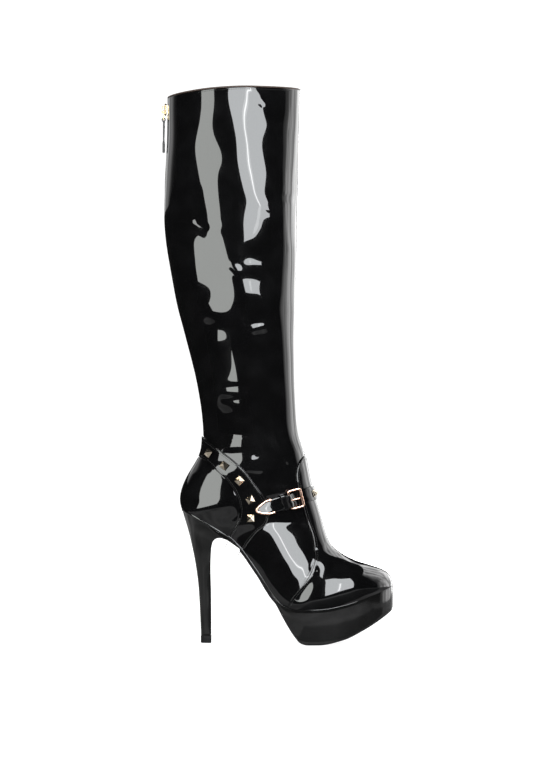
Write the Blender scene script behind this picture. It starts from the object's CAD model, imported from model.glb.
# The looks of the platform boot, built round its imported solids.
# Lengths are millimetres until a mesh is made. x = 0 is the back of the heel, the toe points
# along +X, the outer side faces -Y, and the floor is z = 0, as in the part's own source.
import math

import bpy
import numpy as np
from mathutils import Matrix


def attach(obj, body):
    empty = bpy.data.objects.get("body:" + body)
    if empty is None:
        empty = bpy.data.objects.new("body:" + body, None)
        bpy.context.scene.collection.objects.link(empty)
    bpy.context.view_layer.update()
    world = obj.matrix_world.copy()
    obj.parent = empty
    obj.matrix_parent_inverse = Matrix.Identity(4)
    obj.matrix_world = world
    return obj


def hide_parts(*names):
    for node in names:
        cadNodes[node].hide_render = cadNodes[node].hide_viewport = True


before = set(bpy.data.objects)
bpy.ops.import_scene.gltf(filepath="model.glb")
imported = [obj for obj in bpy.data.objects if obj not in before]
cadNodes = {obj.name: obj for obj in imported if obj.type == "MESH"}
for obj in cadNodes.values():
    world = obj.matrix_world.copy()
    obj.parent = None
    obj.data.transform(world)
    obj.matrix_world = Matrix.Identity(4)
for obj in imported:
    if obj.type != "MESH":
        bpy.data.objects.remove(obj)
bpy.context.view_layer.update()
print("stage: frame loaded")

last = dict(
    footLength=221.5, heelHeight=142.0, platformHeight=35.3, toeRise=22.0, toeSpring=34.0,
    ankleRise=76.0, heelWidth=64.0, ballWidth=84.0, toeSway=7.0, lastTuck=30.0, legHeight=362.0,
    collarDip=9.0, ankleDepth=99.0, ankleWidth=66.0, collarDepth=139.5, collarWidth=97.0,
    shinPlace=0.548, wall=2.0, gap=0.3, soleGap=0.45, overlay=1.2, counter=0.8,
    shank=2.1, outsole=1.3, lip=0.8, frameShift=-101.58840560913086,
)
footLength = last["footLength"]
platformHeight = last["platformHeight"]
heelRise = last["heelHeight"] - platformHeight
legFoot = last["heelHeight"] + last["ankleRise"]
overHeight = legFoot - platformHeight
shinX = last["shinPlace"] * footLength
gap = last["gap"]


# Cubic piece over a width: ends y0 and y1, slopes m0 and m1, read at the share s of the width.
def cubicPiece(s, width, y0, y1, m0, m1):
    ends = (1 + 2 * s) * (1 - s) ** 2 * y0 + s * s * (3 - 2 * s) * y1
    return ends + width * (s * (1 - s) ** 2 * m0 + s * s * (s - 1) * m1)


# Smooth curve through (xs, ys): cubic pieces whose slopes are the harmonic mean of their
# neighbours' rises, so it never swings past a point. Straight beyond both ends.
def curveThrough(xs, ys):
    xs = np.asarray(xs, float)
    ys = np.asarray(ys, float)
    rises = np.diff(ys) / np.diff(xs)
    slopes = np.zeros_like(ys)
    before, after = rises[:-1], rises[1:]
    total = np.where(before + after == 0, 1, before + after)
    slopes[1:-1] = np.where(before * after > 0, 2 * before * after / total, 0)
    slopes[0], slopes[-1] = rises[0], rises[-1]

    def curve(x):
        x = np.asarray(x, float)
        i = np.clip(np.searchsorted(xs, x, side="right") - 1, 0, len(xs) - 2)
        width = xs[i + 1] - xs[i]
        s = np.clip((x - xs[i]) / width, 0, 1)
        beyond = slopes[0] * np.minimum(x - xs[0], 0) + slopes[-1] * np.maximum(x - xs[-1], 0)
        return cubicPiece(s, width, ys[i], ys[i + 1], slopes[i], slopes[i + 1]) + beyond

    return curve


# Smooth step from 0 to 1 as a share goes from 0 to 1.
def ease(share):
    return share * share * (3 - 2 * share)


# Length of a side-view curve for each mm along x.
def steepness(curve, x):
    return np.sqrt(1 + (curve(x + 0.5) - curve(x - 0.5)) ** 2)


# Where a test passes nought between low and high, which may be one number for a whole array.
def bisect(test, low, high, rounds=34):
    low = np.array(low, float)
    high = np.array(high, float)
    sign = test(low) > 0
    for _ in range(rounds):
        middle = (low + high) / 2
        same = (test(middle) > 0) == sign
        low = np.where(same, middle, low)
        high = np.where(same, high, middle)
    return (low + high) / 2


# Lower edge of the upper and the tread, seen from the side, as in the part's source.
edgeTable = np.array([
    (0, 1.01, 0), (0.107, 0.885, 0), (0.189, 0.785, 0), (0.232, 0.73, 0), (0.284, 0.63, 0),
    (0.365, 0.4, 0), (0.446, 0.14, 0), (0.49, 0.048, 0), (0.56, 0, 0), (0.66, 0, 0.03),
    (0.768, 0, 0.21), (0.907, 0, 0.66), (1, 0, 1),
])
edgeHeight = curveThrough(
    edgeTable[:, 0] * footLength,
    platformHeight + edgeTable[:, 1] * heelRise + edgeTable[:, 2] * last["toeRise"],
)
treadTable = np.array([
    (0.36, 2.45, 0), (0.43, 1.5, 0), (0.465, 1.03, 0), (0.505, 0.57, 0), (0.539, 0.245, 0),
    (0.566, 0.06, 0), (0.6, 0, 0), (0.65, 0, 0), (0.768, 0, 0.15), (0.859, 0, 0.42),
    (0.942, 0, 0.74), (1, 0, 1),
])
treadHeight = curveThrough(
    treadTable[:, 0] * footLength,
    treadTable[:, 1] * platformHeight + treadTable[:, 2] * last["toeSpring"],
)
thinSole = last["soleGap"] + last["shank"] + gap + last["outsole"]
soleBlend = 2.0


# Height of the sole's underside: the lower of shank and tread, blended where the two meet.
def underside(x):
    thin = edgeHeight(x) - thinSole * steepness(edgeHeight, x)
    tread = treadHeight(x)
    near = np.maximum(0, soleBlend - np.abs(thin - tread))
    return np.minimum(thin, tread) - np.where(tread > 1, near * near / (4 * soleBlend), 0)


# Sections of the form, in the part's own shares: leg (up, front, depth, width), round the heel
# (at, up, topAt, lift, topRise, heel), and foot (at, under, topAt, lift, topRise, heel, ball,
# sway). A lean puts a section's widest place at a share of the way from its back or bottom: 0.46
# round the heel, 0.38 along the foot.
legTable = [
    (1.06, 0.033, 1, 1), (1, 0.031, 1, 1), (0.86, 0.024, 0.985, 1.01), (0.74, 0.014, 1.01, 1.03),
    (0.65, 0.011, 1.02, 1.02), (0.56, 0.007, 0.955, 0.95), (0.46, 0.001, 0.79, 0.78),
    (0.36, -0.003, 0.6, 0.58), (0.26, -0.008, 0.345, 0.36), (0.16, -0.008, 0.12, 0.16),
    (0.07, 0.003, 0, 0.03), (0, 0.025, 0.05, 0),
]
heelTable = [
    (0.102, 0.79, 0.584, 1, 0.8, 1.03), (0.071, 0.6, 0.592, 1, 0.65, 1.03),
    (0.036, 0.43, 0.599, 0.95, 0.6, 1.02), (0.011, 0.24, 0.607, 0.9, 0.551, 1.01),
    (0.0055, 0.09, 0.616, 0.84, 0.516, 1),
]
footTable = [
    (0.017, 0.13, 0.627, 0.78, 0.48, 0.985, 0, 0), (0.03, 0.48, 0.639, 0.72, 0.452, 0.97, 0, 0),
    (0.062, 0.66, 0.65, 0.65, 0.439, 0.96, 0, 0), (0.118, 0.73, 0.661, 0.58, 0.425, 0.94, 0, 0),
    (0.181, 0.8, 0.671, 0.5, 0.43, 0.8, 0.11, -0.1),
    (0.236, 0.95, 0.684, 0.42, 0.43, 0.6, 0.27, -0.2),
    (0.295, 1.04, 0.702, 0.33, 0.443, 0.4, 0.44, -0.25),
    (0.358, 1.06, 0.73, 0.24, 0.482, 0.2, 0.65, -0.2),
    (0.426, 0.92, 0.765, 0.16, 0.52, 0.08, 0.83, -0.1),
    (0.507, 0.5, 0.804, 0.1, 0.546, 0, 0.98, 0), (0.597, 0.37, 0.842, 0.05, 0.574, 0, 1, 0.1),
    (0.687, 0.34, 0.881, 0, 0.613, 0, 0.965, 0.25), (0.773, 0.31, 0.915, 0, 0.582, 0, 0.88, 0.45),
    (0.85, 0.28, 0.943, 0, 0.551, 0, 0.76, 0.65), (0.913, 0.25, 0.966, 0, 0.513, 0, 0.62, 0.8),
    (0.958, 0.2, 0.983, 0, 0.464, 0, 0.46, 0.91), (0.987, 0.13, 0.995, 0, 0.4, 0, 0.275, 0.97),
    (1, -0.05, 1, 0, 0.315, 0, 0, 1),
]

legFullness = 0.92
heelLean = math.log(0.46) / math.log(0.5)
footLean = math.log(0.38) / math.log(0.5)


# Each section as back x and z, front x and z, half width, sway, low and high fullness, lean.
def sectionList():
    out = []
    for up, front, depth, width in legTable:
        z = legFoot + up * last["legHeight"]
        x = shinX + front * last["collarDepth"]
        deep = last["ankleDepth"] + depth * (last["collarDepth"] - last["ankleDepth"])
        wide = last["ankleWidth"] + width * (last["collarWidth"] - last["ankleWidth"])
        out.append((x - deep, z, x, z, wide / 2, 0, legFullness, legFullness, 1))
    for at, up, topAt, lift, topRise, heel in heelTable:
        back = (at * footLength, last["heelHeight"] + up * last["ankleRise"])
        topZ = platformHeight + lift * heelRise + topRise * last["ankleRise"]
        half = heel * last["heelWidth"] / 2
        out.append((*back, topAt * footLength, topZ, half, 0, 0.76, 0.84, heelLean))
    for at, under, topAt, lift, topRise, heel, ball, sway in footTable:
        x = at * footLength
        back = (x, float(edgeHeight(x)) - under * last["lastTuck"])
        topZ = platformHeight + lift * heelRise + topRise * last["ankleRise"]
        front = back if heel + ball == 0 else (topAt * footLength, topZ)
        half = (heel * last["heelWidth"] + ball * last["ballWidth"]) / 2
        out.append((*back, *front, half, sway * last["toeSway"], 0.62, 0.9, footLean))
    return np.array(out)


sections = sectionList()
tipRow = len(sections) - 1
ankleRow = len(legTable) - 1
seatRow = len(legTable) + len(heelTable)
rowNumbers = np.arange(tipRow + 1)
plainColumns = [curveThrough(rowNumbers, sections[:, c]) for c in range(9)]
softenSteps = np.linspace(-0.66, 0.66, 7)
softenShares = np.exp(-((softenSteps / 0.4) ** 2))
softenShares = softenShares / softenShares.sum()


# A column of the sections averaged over a short run of rows, so that gloss shows no kink at a row.
# The run shortens over the last few rows before the toe.
def column(c, row):
    reach = np.clip((tipRow - row) / 7, 0, 1)
    return sum(w * plainColumns[c](row + d * reach) for d, w in zip(softenSteps, softenShares))


# Point of the form: along the section by ((1 - cos angle) / 2) to the power lean, and sideways by
# the half width times |sin angle| to the power fullness. 0 is back or bottom, pi is front or top.
def formPoint(row, angle):
    row, angle = np.broadcast_arrays(np.asarray(row, float), np.asarray(angle, float))
    backX, backZ, frontX, frontZ, half, sway, low, high, lean = (column(c, row) for c in range(9))
    along = ((1 - np.cos(angle)) / 2) ** lean
    reach = half * np.abs(np.sin(angle)) ** (low + (high - low) * along)
    y = sway - np.sign(np.sin(angle)) * reach
    return np.stack([backX + (frontX - backX) * along, y, backZ + (frontZ - backZ) * along], -1)


def unit(v):
    return v / np.maximum(np.linalg.norm(v, axis=-1, keepdims=True), 1e-9)


def formNormal(row, angle):
    row, angle = np.broadcast_arrays(np.asarray(row, float), np.asarray(angle, float))
    before, after = np.maximum(0, row - 0.04), np.minimum(tipRow, row + 0.04)
    along = formPoint(after, angle) - formPoint(before, angle)
    around = formPoint(row, angle + 0.05) - formPoint(row, angle - 0.05)
    return unit(np.cross(along, around))


# Creases: soft ridges and troughs along short lines of the side view, each placed by hand.
# (side, x and z of one end, x and z of the other, half width, height): side 0 is both.
creases = np.array([
    (-1, 16, 440, 26, 434, 3, -0.6), (-1, 30, 428, 46, 434, 5, 0.25),
    (-1, 75, 393, 86, 391, 8, 0.6), (-1, 76, 358, 88, 352, 19, 1.9),
    (-1, 55, 394, 60, 388, 3.5, 0.6), (-1, 77, 328, 86, 330, 5, 0.95),
    (-1, 98, 119, 115, 84, 15, 1.5), (-1, 145, 84, 183, 74, 14, 1.4),
    (0, 0, 151, 50, 149, 12, 0.8), (-1, 78, 140, 112, 150, 14, 0.9),
    (-1, 130, 122, 139, 98, 5, -0.6), (-1, 139, 98, 139, 78, 5.5, -1.0),
    (-1, 139, 78, 126, 52, 5, -0.6), (-1, 94, 127, 124, 126, 7, -1.0),
    (-1, 36, 258, 62, 256, 24, 1.2), (-1, 44, 268, 66, 269, 3, -0.22),
    (-1, 46, 256, 66, 256, 3.5, -0.25), (-1, 50, 240, 70, 240, 5, -0.12),
    (-1, 48, 218, 66, 218, 6, -0.5), (-1, 48, 200, 78, 199, 4.5, -0.45),
    (-1, 46, 187, 82, 182, 4.5, 0.3), (-1, 16, 470, 22, 420, 7, -0.3),
    (-1, 2, 500, 6, 452, 5, 0.5), (-1, 94, 460, 104, 396, 11, -0.15),
    (-1, 100, 540, 108, 480, 10, 0.4), (-1, 76, 578, 84, 571, 2.5, 0.3),
    (-1, 79, 566, 86, 561, 2.5, -0.3), (-1, 84, 457, 92, 453, 3, 0.15),
    (1, 34, 340, 70, 280, 9, -0.7), (1, 50, 372, 90, 330, 8, 0.8), (1, 56, 224, 90, 208, 5, -0.7),
    (1, 44, 208, 80, 198, 4, 0.7), (1, 84, 236, 114, 216, 6, -0.6), (1, 36, 282, 58, 236, 7, 0.8),
    (1, 24, 480, 40, 400, 12, -0.6), (1, 88, 490, 100, 380, 14, -0.5),
    (1, 40, 560, 60, 420, 16, 0.8), (0, 96, 196, 122, 178, 6, -0.4),
])
# Gloss bands of the outer side, placed by eye: a height, then where the left soft box's band starts
# and ends along the side view, and where the front box's does.
bandRows = np.array([
    (585, 21, 32, 48, 80), (572, 22.5, 33.5, 49, 83), (558, 22.5, 35, 51, 85),
    (537, 20, 34.5, 54, 84.5), (516, 19, 36, 58, 86), (491, 20, 39, 61, 88.5),
    (469, 22.5, 41.5, 63, 87), (461, 24, 42, 62, 92.5), (450, 26.5, 43, 62.5, 93),
    (440, 26.5, 43.5, 63, 93), (429, 20.5, 45.5, 64, 91), (418, 15.5, 47.5, 66, 88),
    (408, 15, 49, 69, 86), (392, 17, 50, 69, 86), (371, 21.5, 50.5, 69, 86),
    (356, 30, 50, 69, 86), (345, 35, 48, 71, 86), (330, 41, 54.5, 71, 86),
    (313, 39, 55.5, 71, 86), (295, 41, 57, 73, 86), (280, 46, 58.5, 73, 86),
    (261, 50, 59.5, 73, 86), (247, 54, 61, 73, 86), (230, 56, 63, 73, 86),
    (216, 55, 63.5, 73, 86), (206, 53, 64, 73, 86), (193, 55, 66.5, 73, 86),
])
# The camera and the two soft boxes that make those bands, in metres: where the camera aims and how
# far it stands, and each box's angle from its direction, distance and width.
studio = dict(aimX=-0.0114, aimZ=0.271, distance=3.5,
              left=(-28.5, 2.0, 0.93), front=(17.5, 2.2, 1.36))
facetX = np.linspace(0, 125, 251)
facetZ = np.linspace(175, 600, 426)
# Facets, lengths in mm: fade beside the bands, smoothing between heights, share left at the
# collar, foot of the front box's bands and of all facets, and the fade above those feet.
facetSet = dict(beside=14, smooth=4.5, reach=14, collar=(540, 585), collarShare=0.62,
                frontFoot=405, foot=178, footFade=14)


# Place on a circle round the boot at an angle from the camera's direction, towards +X.
def around(angle, distance):
    a = math.radians(angle)
    return distance * np.array([math.sin(a), -math.cos(a)])


# Both ends of a soft box in plan.
def boxEnds(angle, distance, width):
    a = math.radians(angle)
    middle = around(angle, distance)
    half = width / 2 * np.array([math.cos(a), math.sin(a)])
    return [middle - half, middle + half]


# Slope of the leather at each band's edge, over the form's own: in plan its outward direction has
# to lie half way between the directions to the camera and to the soft box's end. It eases off at
# the collar, where the leather is held, and the front box's bands end under the calf.
def bandSlopes():
    x, z = np.broadcast_arrays(bandRows[:, 1:], bandRows[:, :1])
    row, angle = placeOnForm(x, z)
    place = (formPoint(row, angle)[..., :2] + [last["frameShift"], 0]) / 1000
    own = formNormal(row, angle)
    ends = np.array(boxEnds(*studio["left"]) + boxEnds(*studio["front"]))
    cameraPlace = np.array([studio["aimX"], -studio["distance"]])
    turn = unit(cameraPlace - place) + unit(ends - place)
    slope = turn[..., 0] / turn[..., 1] - own[..., 0] / own[..., 1]
    slope = slope * np.interp(z, facetSet["collar"], (1, facetSet["collarShare"]))
    slope[:, 2:] *= np.clip((z[:, 2:] - facetSet["frontFoot"]) / facetSet["footFade"], 0, 1)
    return slope


# Height of the facets on a grid: the slope summed along x, less its mean, smoothed between heights.
def facetHeights():
    rows = []
    beside, reach = facetSet["beside"], facetSet["reach"]
    for edges, slopes in zip(bandRows[::-1, 1:], bandSlopes()[::-1]):
        places = [edges[0] - beside, *edges, edges[3] + beside]
        height = np.cumsum(np.interp(facetX, places, [0, *slopes, 0])) * (facetX[1] - facetX[0])
        middle = (facetX > edges[0]) & (facetX < edges[3])
        rows.append(height - height[middle].mean())
    share = np.array([np.interp(facetZ, bandRows[::-1, 0], one) for one in np.eye(len(rows))])
    bell = np.exp(-((np.arange(-reach, reach + 1) / facetSet["smooth"]) ** 2))
    bell = bell / bell.sum()
    share = [np.convolve(np.pad(one, reach, "edge"), bell, "valid") for one in share]
    return np.stack(share, -1) @ np.array(rows)


# Height of the facets at side-view points, read between the four nearest grid values.
def facetHeight(x, z):
    u = np.clip((x - facetX[0]) / (facetX[1] - facetX[0]), 0, len(facetX) - 1.001)
    v = np.clip((z - facetZ[0]) / (facetZ[1] - facetZ[0]), 0, len(facetZ) - 1.001)
    i, j = u.astype(int), v.astype(int)
    low = facets[j, i] * (1 - u + i) + facets[j, i + 1] * (u - i)
    high = facets[j + 1, i] * (1 - u + i) + facets[j + 1, i + 1] * (u - i)
    foot = np.clip((z - facetSet["foot"]) / facetSet["footFade"], 0, 1)
    return (low * (1 - v + j) + high * (v - j)) * foot


# Wide waves of soft leather: (length along x, length along z, turn, height), lengths in mm.
leatherWaves = [
    (61, 118, 0.4, 0.16), (-83, 74, 2.1, 0.12), (47, -149, 4.0, 0.1), (35, 52, 1.2, 0.05),
]
# Lengths in mm: half width of the change from side to side; the boot's half width at two heights
# and the shares of it where facets start and are full; the tuck over the sole's edge, how high it
# reaches, where it runs along x and fades; and where the waves fade below the ankle's band.
leatherSet = dict(
    blend=6, heights=(225, 480), halves=(31, 46), facetStart=0.2, facetFade=0.6, tuck=0.5,
    tuckUp=13, tuckFrom=95, tuckTo=205, tuckFade=30, waveFoot=150, waveFade=90, waveLeast=0.1,
)


# Height of the leather over the form: a bell across each crease line, the facets of the outer
# side, the tuck and the waves, which fade where the leather is stretched over the last.
def relief(points):
    x, y, z = points[..., 0], points[..., 1], points[..., 2]
    height = np.zeros_like(x)
    side = np.clip(y / leatherSet["blend"], -1, 1)
    for where, x0, z0, x1, z1, wide, lift in creases:
        length = (x1 - x0) ** 2 + (z1 - z0) ** 2
        share = np.clip(((x - x0) * (x1 - x0) + (z - z0) * (z1 - z0)) / length, 0, 1)
        away = (x - x0 - share * (x1 - x0)) ** 2 + (z - z0 - share * (z1 - z0)) ** 2
        onSide = 1 if where == 0 else np.clip(0.5 + 0.5 * where * side, 0, 1)
        height = height + onSide * lift * np.exp(-away / wide**2)
    half = np.interp(z, leatherSet["heights"], leatherSet["halves"])
    edge = np.clip((-y / half - leatherSet["facetStart"]) / leatherSet["facetFade"], 0, 1)
    height = height + facetHeight(x, z) * ease(edge)
    up = np.maximum(0, z - edgeHeight(x)) / leatherSet["tuckUp"]
    starts = np.clip((x - leatherSet["tuckFrom"]) / leatherSet["tuckFade"], 0, 1)
    stops = np.clip((leatherSet["tuckTo"] - x) / leatherSet["tuckFade"], 0, 1)
    height = height - leatherSet["tuck"] * np.exp(-up * up) * starts * stops
    waves = sum(h * np.sin(2 * np.pi * (x / a + z / b) + t + side) for a, b, t, h in leatherWaves)
    fade = (z - leatherSet["waveFoot"]) / leatherSet["waveFade"]
    return height + waves * np.clip(fade, leatherSet["waveLeast"], 1)


def overPoint(row, angle, offset=0.0):
    point = formPoint(row, angle)
    normal = formNormal(row, angle)
    return point + normal * (relief(point) + offset)[..., None], normal


# Section row and angle of the form's outer side at points of the side view.
def placeOnForm(x, z):
    def across(row):
        backX, backZ, frontX, frontZ = (column(c, row) for c in range(4))
        return (frontX - backX) * (z - backZ) - (frontZ - backZ) * (x - backX)

    row = bisect(across, 0, tipRow - 0.02)
    backX, backZ, frontX, frontZ = (column(c, row) for c in range(4))
    spanX, spanZ = frontX - backX, frontZ - backZ
    share = ((x - backX) * spanX + (z - backZ) * spanZ) / (spanX**2 + spanZ**2)
    return row, np.arccos(1 - 2 * np.clip(share, 0, 1) ** (1 / column(8, row)))


facets = facetHeights()


# Points over the form at side-view places, on the outer side (-1) or the inner side (1), with the
# form's outward directions.
def overSide(x, z, side, offset):
    x, z, side = np.broadcast_arrays(*(np.asarray(value, float) for value in (x, z, side)))
    row, angle = placeOnForm(x, z)
    angle = np.where(side < 0, angle, 2 * np.pi - angle)
    return overPoint(row, angle, np.broadcast_to(np.asarray(offset, float), x.shape))


# Smooth line of count points through hand-placed ones: cubic pieces with slopes between neighbours.
def smoothLine(points, count):
    points = np.asarray(points, float)
    steps = np.linalg.norm(np.diff(points, axis=0), axis=1)
    t = np.concatenate([[0], np.cumsum(steps)])
    slopes = np.gradient(points, t, axis=0)
    at = np.linspace(0, t[-1], count)
    i = np.clip(np.searchsorted(t, at, side="right") - 1, 0, len(t) - 2)
    width = (t[i + 1] - t[i])[:, None]
    s = ((at - t[i]) / (t[i + 1] - t[i]))[:, None]
    return cubicPiece(s, width, points[i], points[i + 1], slopes[i], slopes[i + 1])


# Side-view points from shares: of footLength along, and of the height from platform to ankle.
def sidePoints(rows):
    rows = np.asarray(rows, float)
    return np.stack([rows[:, 0] * footLength, platformHeight + rows[:, 1] * overHeight], -1)


def arcLength(points):
    steps = np.linalg.norm(np.diff(points, axis=0), axis=-1)
    return np.concatenate([np.zeros((1,) + steps.shape[1:]), np.cumsum(steps, axis=0)])


# A line's points or directions read at lengths along it.
def readAt(at, length, points):
    return np.stack([np.interp(at, length, points[:, k]) for k in range(points.shape[1])], -1)


def resample(points, spacing=None, count=None):
    length = arcLength(points)
    count = count or max(2, int(round(length[-1] / spacing)) + 1)
    return readAt(np.linspace(0, length[-1], count), length, points)


class Wire:
    # One output of a material's tree; sums of wires read like plain sums.
    def __init__(self, tree, socket):
        self.tree = tree
        self.socket = socket

    def math(self, operation, other=None, swap=False):
        node = self.tree.nodes.new("ShaderNodeMath")
        node.operation = operation
        pair = [self] if other is None else [other, self] if swap else [self, other]
        for i, value in enumerate(pair):
            if isinstance(value, Wire):
                self.tree.links.new(value.socket, node.inputs[i])
            else:
                node.inputs[i].default_value = value
        return Wire(self.tree, node.outputs[0])

    def __add__(self, other):
        return self.math("ADD", other)

    def __radd__(self, other):
        return self.math("ADD", other, True)

    def __sub__(self, other):
        return self.math("SUBTRACT", other)

    def __rsub__(self, other):
        return self.math("SUBTRACT", other, True)

    def __mul__(self, other):
        return self.math("MULTIPLY", other)

    def __rmul__(self, other):
        return self.math("MULTIPLY", other, True)

    def clamp(self):
        return self.math("MAXIMUM", 0.0).math("MINIMUM", 1.0)

    # Rises smoothly from 0 to 1 as the wire goes from low to high.
    def ramp(self, low, high):
        share = ((self - low) * (1 / (high - low))).clamp()
        return share * share * (3.0 - 2.0 * share)


class Material:
    # A principled material whose constants sit on its own sockets.
    def __init__(self, name, **constants):
        self.data = bpy.data.materials.new(name)
        self.data.use_nodes = True
        self.tree = self.data.node_tree
        self.shader = self.tree.nodes["Principled BSDF"]
        for key, value in constants.items():
            self.shader.inputs[key.replace("_", " ")].default_value = value

    def node(self, kind, output=0, settings=None, **values):
        node = self.tree.nodes.new(kind)
        for key, value in (settings or {}).items():
            setattr(node, key, value)
        for key, value in values.items():
            socket = node.inputs[key.replace("_", " ")]
            if isinstance(value, Wire):
                self.tree.links.new(value.socket, socket)
            else:
                socket.default_value = value
        return Wire(self.tree, node.outputs[output])

    def place(self, scale=(1, 1, 1)):
        where = self.node("ShaderNodeTexCoord", "Object")
        return self.node("ShaderNodeMapping", Vector=where, Scale=scale)

    # Clouds of a size in metres, finer by a factor along each axis.
    def noise(self, size, detail=2.0, stretch=(1, 1, 1)):
        where = self.place(tuple(s / size for s in stretch))
        return self.node("ShaderNodeTexNoise", Vector=where, Scale=1.0, Detail=detail)

    def mix(self, share, first, second):
        node = self.tree.nodes.new("ShaderNodeMix")
        node.data_type = "RGBA"
        self.tree.links.new(share.socket, node.inputs[0])
        for socket, value in ((node.inputs[6], first), (node.inputs[7], second)):
            if isinstance(value, Wire):
                self.tree.links.new(value.socket, socket)
            else:
                socket.default_value = (*value, 1)
        return Wire(self.tree, node.outputs[2])

    def drive(self, key, wire):
        self.tree.links.new(wire.socket, self.shader.inputs[key])

    def bump(self, height, distance):
        self.drive("Normal", self.node("ShaderNodeBump", Height=height, Distance=distance))


# Patent leather: near black under a clear coat, with faint orange peel and a few dull smudges.
def patentMaterial(name, base=(0.0012, 0.0012, 0.0013), peel=0.000012, smudge=0.05, coat=0.015):
    m = Material(name, IOR=1.45, Specular_IOR_Level=0.04,
                 Coat_Weight=1.0, Coat_Roughness=coat, Coat_IOR=1.5)
    cloud = m.noise(0.021, 3.0)
    fine = m.noise(0.0011, 2.0)
    m.drive("Base Color", m.mix(cloud.ramp(0.35, 0.75), base, tuple(c * 1.7 for c in base)))
    m.drive("Roughness", 0.1 + cloud.ramp(0.45, 0.8) * smudge + fine * 0.03)
    m.bump(fine * 0.5 + m.noise(0.006, 2.0) * 0.9, peel)
    return m.data


# Metal with fine scratches and slightly duller patches.
def metalMaterial(name, colour, rough=0.16):
    m = Material(name, Metallic=1.0)
    cloud = m.noise(0.004, 3.0)
    lines = m.noise(0.0006, 2.0, (1, 1, 9))
    m.drive("Base Color", m.mix(cloud.ramp(0.4, 0.75), colour, tuple(c * 0.86 for c in colour)))
    m.drive("Roughness", rough + cloud.ramp(0.4, 0.8) * 0.12 + lines * 0.05)
    m.bump(lines, 0.000008)
    return m.data


# Cloth: two crossed waves, darker between the threads, about 0.6 of the size from thread to thread.
def clothMaterial(name, colour, size=0.0007, depth=0.00012, rough=0.85):
    m = Material(name)
    where = m.place()
    warp, weft = (
        m.node("ShaderNodeTexWave", 1, {"wave_type": "BANDS", "bands_direction": direction},
               Vector=where, Scale=0.5 / size)
        for direction in "ZY"
    )
    m.drive("Base Color", m.mix(warp * weft, tuple(c * 0.6 for c in colour), colour))
    m.drive("Roughness", rough + m.noise(0.01) * 0.1)
    m.bump(warp + weft, depth)
    return m.data


# Grain: small cells under a cloudy colour, for rubber and matt leather.
def grainMaterial(name, colour, size=0.0012, depth=0.00015, rough=0.6, shine=0.5):
    m = Material(name, Specular_IOR_Level=shine)
    cells = m.node("ShaderNodeTexVoronoi", 0, None, Vector=m.place(), Scale=1 / size)
    cloud = m.noise(0.015, 3.0)
    m.drive("Base Color", m.mix(cloud.ramp(0.35, 0.7), tuple(c * 0.8 for c in colour), colour))
    m.drive("Roughness", rough + cloud * 0.15)
    m.bump(cells, depth)
    return m.data


patent = patentMaterial("patent leather")
patentSole = patentMaterial("patent cover", (0.002, 0.002, 0.002), 0.00001, 0.06, 0.06)
patentHeel = patentMaterial("patent heel", (0.002, 0.002, 0.002), 0.000008, 0.05, 0.06)
rubber = grainMaterial("sole rubber", (0.005, 0.005, 0.0054), shine=0.15)
lining = clothMaterial("lining", (0.035, 0.028, 0.024), 0.0006, 0.00008)
insoleLeather = grainMaterial("insole leather", (0.3, 0.23, 0.16), 0.0009, 0.00006, 0.5)
tapeCloth = clothMaterial("zip tape", (0.012, 0.012, 0.012), 0.0005, 0.0001)
thread = clothMaterial("thread", (0.012, 0.012, 0.012), 0.0003, 0.00005, 0.6)
tabLeather = grainMaterial("tab leather", (0.012, 0.012, 0.012), 0.0008, 0.00006, 0.42)
binding = grainMaterial("collar binding", (0.03, 0.016, 0.01), 0.0007, 0.00006, 0.45)
roseGold = metalMaterial("rose gold", (0.87, 0.56, 0.43), 0.13)
paleGold = metalMaterial("pale gold", (0.87, 0.76, 0.6), 0.13)
zipGold = metalMaterial("zip gold", (0.8, 0.62, 0.36), 0.2)
print("stage: materials")

cornersPerMm = 2000  # corners nearer than half a micron are one
bothSides = (-1, 1)


# Mesh of points in mm with its four- and three-cornered faces, as a piece that rides a body.
def addPiece(name, points, quads, thin, material, replaces=(), body="boot"):
    mesh = bpy.data.meshes.new(name)
    mesh.vertices.add(len(points))
    place = (points + np.array([last["frameShift"], 0, 0])) / 1000
    mesh.vertices.foreach_set("co", place.astype(np.float32).ravel())
    corners = np.concatenate([quads.ravel(), thin.ravel()]).astype(np.int32)
    starts = np.concatenate([np.arange(len(quads)) * 4, len(quads) * 4 + np.arange(len(thin)) * 3])
    mesh.loops.add(len(corners))
    mesh.loops.foreach_set("vertex_index", corners)
    mesh.polygons.add(len(starts))
    mesh.polygons.foreach_set("loop_start", starts.astype(np.int32))
    mesh.polygons.foreach_set("use_smooth", np.ones(len(starts), bool))
    mesh.update(calc_edges=True)
    mesh.validate()
    mesh.materials.append(material)
    piece = bpy.data.objects.new(name, mesh)
    bpy.context.collection.objects.link(piece)
    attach(piece, body)
    if replaces:
        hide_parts(*replaces)
    return piece


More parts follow.
